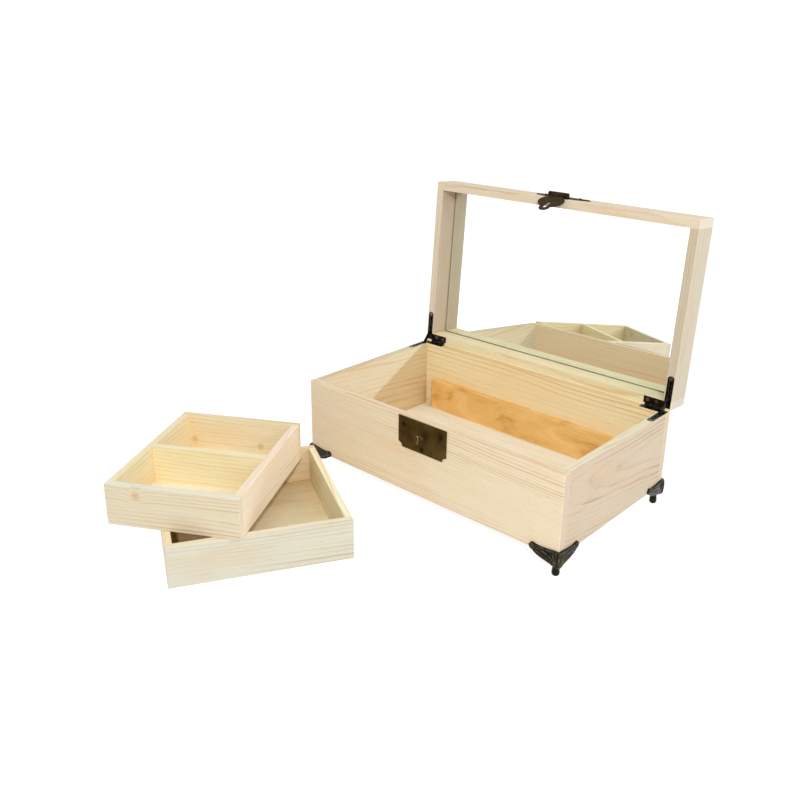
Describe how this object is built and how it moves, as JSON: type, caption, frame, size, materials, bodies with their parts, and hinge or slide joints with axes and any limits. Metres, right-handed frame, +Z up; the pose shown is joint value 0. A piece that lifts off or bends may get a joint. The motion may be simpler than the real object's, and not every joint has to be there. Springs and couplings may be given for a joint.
{
  "type": "vanity box",
  "caption": "Pine vanity box on metal corner feet, with a mirror in its hinged lid, stay hinges, a hasp with turn knob, and two lift-out trays.",
  "frame": {"origin": "centre of the whole set's bounding box in plan, on the surface that it stands on", "axes": "+Z up, +X along the box to its right as seen from the front, +Y from the box's front to its back"},
  "size_m": [0.342, 0.4268, 0.2599],
  "materials": {
    "pine": "unfinished light pine, sanded",
    "pine_panel": "unfinished light pine panel",
    "plywood": "thin pale plywood",
    "amber_strip": "amber pine strip",
    "mirror_glass": "flat mirror",
    "hinge_bronze": "antique bronze plated steel, near black",
    "antique_bronze": "antique bronze plated steel, brown with worn edges"
  },
  "bodies": {
    "box": {"box_front_board": "pine", "box_back_board": "pine", "box_left_board": "pine", "box_right_board": "pine", "box_bottom_panel": "plywood", "tray_ledge_front": "amber_strip", "tray_ledge_back": "amber_strip", "lock_plate": "antique_bronze", "lock_plate_nails": "antique_bronze", "foot_screws": "antique_bronze", "corner_foot_front_left": "antique_bronze", "corner_foot_front_right": "antique_bronze", "corner_foot_back_left": "antique_bronze", "corner_foot_back_right": "antique_bronze", "hinge_left_lower_leaf": "hinge_bronze", "hinge_left_lower_screws": "hinge_bronze", "hinge_left_pin": "hinge_bronze", "stay_left_rivet": "hinge_bronze", "hinge_right_lower_leaf": "hinge_bronze", "hinge_right_lower_screws": "hinge_bronze", "hinge_right_pin": "hinge_bronze", "stay_right_rivet": "hinge_bronze"},
    "lid": {"lid_front_board": "pine", "lid_back_board": "pine", "lid_left_board": "pine", "lid_right_board": "pine", "lid_top_panel": "pine_panel", "mirror": "mirror_glass", "hasp_plate": "antique_bronze", "hasp_plate_nails": "antique_bronze", "hinge_left_upper_leaf": "hinge_bronze", "hinge_left_upper_screws": "hinge_bronze", "hinge_right_upper_leaf": "hinge_bronze", "hinge_right_upper_screws": "hinge_bronze"},
    "stay_left": {"stay_arm_left": "hinge_bronze"},
    "stay_right": {"stay_arm_right": "hinge_bronze"},
    "hasp_pin": {"hasp_pin": "antique_bronze"},
    "hasp_tongue": {"hasp_tongue": "antique_bronze"},
    "turn_knob": {"turn_knob": "antique_bronze"},
    "tray_large": {"large_tray_front_board": "pine", "large_tray_back_board": "pine", "large_tray_left_board": "pine", "large_tray_right_board": "pine", "large_tray_floor": "plywood"},
    "tray_small": {"small_tray_front_board": "pine", "small_tray_back_board": "pine", "small_tray_left_board": "pine", "small_tray_right_board": "pine", "small_tray_floor": "plywood", "small_tray_divider": "pine"}
  },
  "joints": [
    {"name": "lid_hinge", "type": "hinge", "parent": "box", "child": "lid", "pos_m": [0.02937, 0.17523, 0.08915], "axis": [1, 0, 0], "range_deg": [0, 94.2]},
    {"name": "stay_left_turn", "type": "hinge", "parent": "box", "child": "stay_left", "pos_m": [-0.10678, 0.16623, 0.0877], "axis": [1, 0, 0], "range_deg": [0, 124.91]},
    {"name": "stay_right_turn", "type": "hinge", "parent": "box", "child": "stay_right", "pos_m": [0.16552, 0.16623, 0.0877], "axis": [1, 0, 0], "range_deg": [0, 124.91]},
    {"name": "hasp_pin_turn", "type": "hinge", "parent": "lid", "child": "hasp_pin", "pos_m": [0.02937, 0.19325, 0.25728], "axis": [1, 0, 0], "range_deg": [-24, 0]},
    {"name": "hasp_tongue_lift", "type": "hinge", "parent": "hasp_pin", "child": "hasp_tongue", "pos_m": [0.02937, 0.19325, 0.25728], "axis": [-1, 0, 0], "range_deg": [0, 150]},
    {"name": "knob_turn", "type": "hinge", "parent": "box", "child": "turn_knob", "pos_m": [0.02937, 0.00823, 0.075], "axis": [0, -1, 0], "range_deg": [0, 90]},
    {"name": "tray_large_lift", "type": "slide", "parent": "box", "child": "tray_large", "axis": [0, 0, 1], "range_m": [0, 0.15]},
    {"name": "tray_small_lift", "type": "slide", "parent": "tray_large", "child": "tray_small", "axis": [0, 0, 1], "range_m": [0, 0.15]}
  ],
  "couplings": [
    {"joint": "stay_left_turn", "follows": "lid_hinge", "ratio": 1.3259},
    {"joint": "stay_right_turn", "follows": "lid_hinge", "ratio": 1.3259},
    {"joint": "hasp_pin_turn", "follows": "lid_hinge", "ratio": -0.25478}
  ]
}
